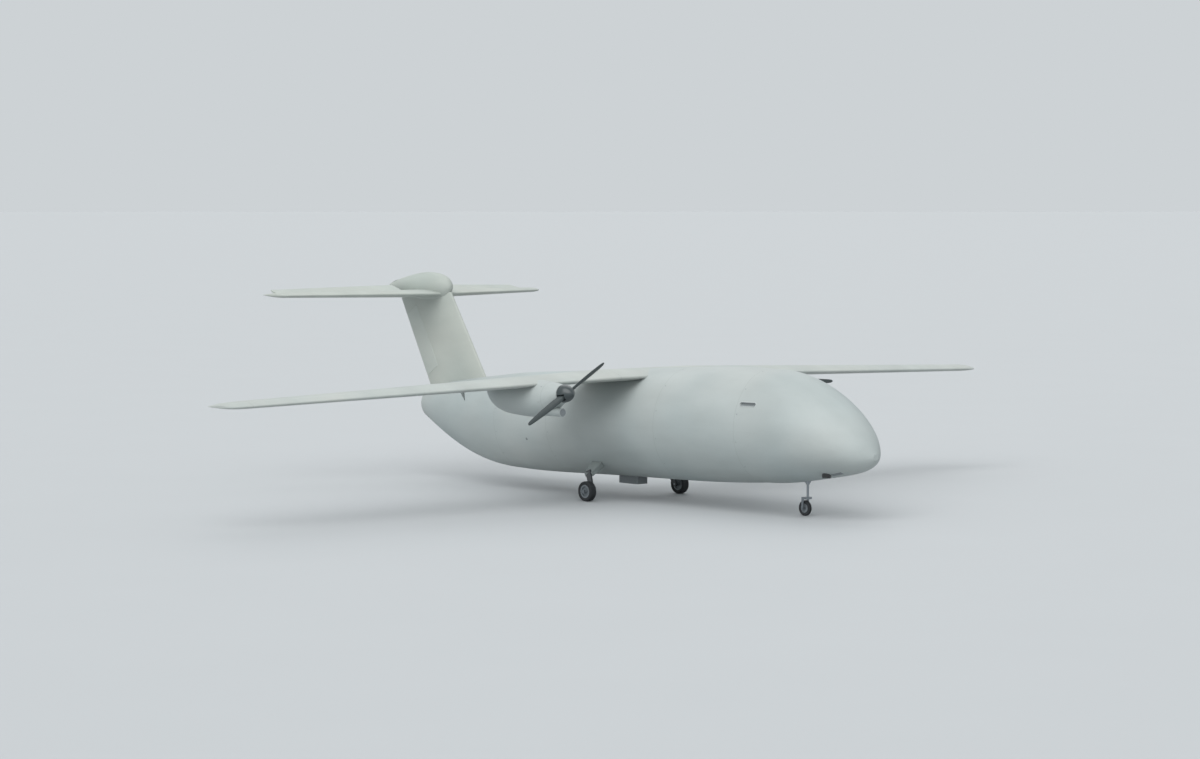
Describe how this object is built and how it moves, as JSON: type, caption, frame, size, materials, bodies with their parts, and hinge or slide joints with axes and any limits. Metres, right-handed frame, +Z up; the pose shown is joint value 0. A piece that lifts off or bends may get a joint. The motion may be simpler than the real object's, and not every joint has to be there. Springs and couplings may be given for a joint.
{
  "type": "remotely piloted aircraft",
  "caption": "Small pilotless high-wing aeroplane with a T-tail, wing-mounted tractor propellers and a fixed tricycle gear, on which it stands and rolls.",
  "frame": {"origin": "on the ground under the tyres, halfway along the length, in the plane of symmetry", "axes": "+X towards the nose, +Y to port along the span, +Z up"},
  "size_m": [2.8695, 3.88, 0.8647],
  "materials": {
    "airframe_plastic": "sintered matte",
    "propeller": "satin",
    "spinner": "semi gloss",
    "tyre": "moulded rubber",
    "wheel_hub": "moulded",
    "motor": "anodised",
    "battery": "wrapped pack",
    "steel": "ground",
    "leg": "carbon laminate",
    "dark_plastic": "moulded"
  },
  "bodies": {
    "airframe": {"air_intake_port": "airframe_plastic", "air_intake_stbd": "airframe_plastic", "battery": "battery", "belly_plate": "leg", "body_aft": "airframe_plastic", "body_centre": "airframe_plastic", "body_forward": "airframe_plastic", "body_nose": "airframe_plastic", "body_tail": "airframe_plastic", "fin": "airframe_plastic", "fin_fairing": "airframe_plastic", "leg_cuff_port": "leg", "leg_cuff_stbd": "leg", "main_axle_port": "steel", "main_axle_stbd": "steel", "main_leg_port": "leg", "main_leg_stbd": "leg", "motor_port": "motor", "motor_stbd": "motor", "nacelle_port": "airframe_plastic", "nacelle_stbd": "airframe_plastic", "nose_sensor": "dark_plastic", "nose_sleeve": "steel", "tailplane_port": "airframe_plastic", "tailplane_stbd": "airframe_plastic", "wing_centre": "airframe_plastic", "wing_panel_port": "airframe_plastic", "wing_panel_stbd": "airframe_plastic", "wingtip_port": "airframe_plastic", "wingtip_stbd": "airframe_plastic"},
    "propeller_port": {"propeller_port": "propeller", "spinner_port": "spinner"},
    "propeller_stbd": {"propeller_stbd": "propeller", "spinner_stbd": "spinner"},
    "main_wheel_port": {"main_tyre_port": "tyre", "main_hub_port": "wheel_hub"},
    "main_wheel_stbd": {"main_tyre_stbd": "tyre", "main_hub_stbd": "wheel_hub"},
    "nose_fork": {"nose_fork": "steel", "nose_axle": "steel"},
    "nose_wheel": {"nose_tyre": "tyre", "nose_hub": "wheel_hub"},
    "aileron_port": {"aileron_port": "airframe_plastic"},
    "aileron_stbd": {"aileron_stbd": "airframe_plastic"},
    "elevator_port": {"elevator_port": "airframe_plastic"},
    "elevator_stbd": {"elevator_stbd": "airframe_plastic"},
    "rudder": {"rudder": "airframe_plastic"}
  },
  "joints": [
    {"name": "propeller_port_spin", "type": "hinge", "parent": "airframe", "child": "propeller_port", "pos_m": [0.425, 0.6, 0.446], "axis": [1, 0, 0], "continuous": true},
    {"name": "main_wheel_port_spin", "type": "hinge", "parent": "airframe", "child": "main_wheel_port", "pos_m": [0.135, 0.245, 0.039], "axis": [0, 1, 0], "continuous": true},
    {"name": "propeller_stbd_spin", "type": "hinge", "parent": "airframe", "child": "propeller_stbd", "pos_m": [0.425, -0.6, 0.446], "axis": [1, 0, 0], "continuous": true},
    {"name": "main_wheel_stbd_spin", "type": "hinge", "parent": "airframe", "child": "main_wheel_stbd", "pos_m": [0.135, -0.245, 0.039], "axis": [0, 1, 0], "continuous": true},
    {"name": "nose_steering", "type": "hinge", "parent": "airframe", "child": "nose_fork", "pos_m": [1.092, 0, 0.124], "axis": [0, 0, 1], "range_deg": [-30, 30]},
    {"name": "nose_wheel_spin", "type": "hinge", "parent": "nose_fork", "child": "nose_wheel", "pos_m": [1.079, 0, 0.0285], "axis": [0, 1, 0], "continuous": true},
    {"name": "aileron_port_hinge", "type": "hinge", "parent": "airframe", "child": "aileron_port", "pos_m": [0.06277, 0.7, 0.4719], "axis": [0.0004, 0.9997, -0.0261], "range_deg": [-22, 22]},
    {"name": "aileron_stbd_hinge", "type": "hinge", "parent": "airframe", "child": "aileron_stbd", "pos_m": [0.06277, -0.7, 0.4719], "axis": [-0.0004, 0.9997, 0.0261], "range_deg": [-22, 22]},
    {"name": "elevator_port_hinge", "type": "hinge", "parent": "airframe", "child": "elevator_port", "pos_m": [-1.255, 0.072, 0.775], "axis": [-0.1644, 0.9864, 0], "range_deg": [-43, 5]},
    {"name": "elevator_stbd_hinge", "type": "hinge", "parent": "airframe", "child": "elevator_stbd", "pos_m": [-1.255, -0.072, 0.775], "axis": [0.1644, 0.9864, 0], "range_deg": [-43, 5]},
    {"name": "rudder_hinge", "type": "hinge", "parent": "airframe", "child": "rudder", "pos_m": [-1.08814, 0, 0.468], "axis": [-0.5018, 0, 0.865], "range_deg": [-25, 25]}
  ]
}
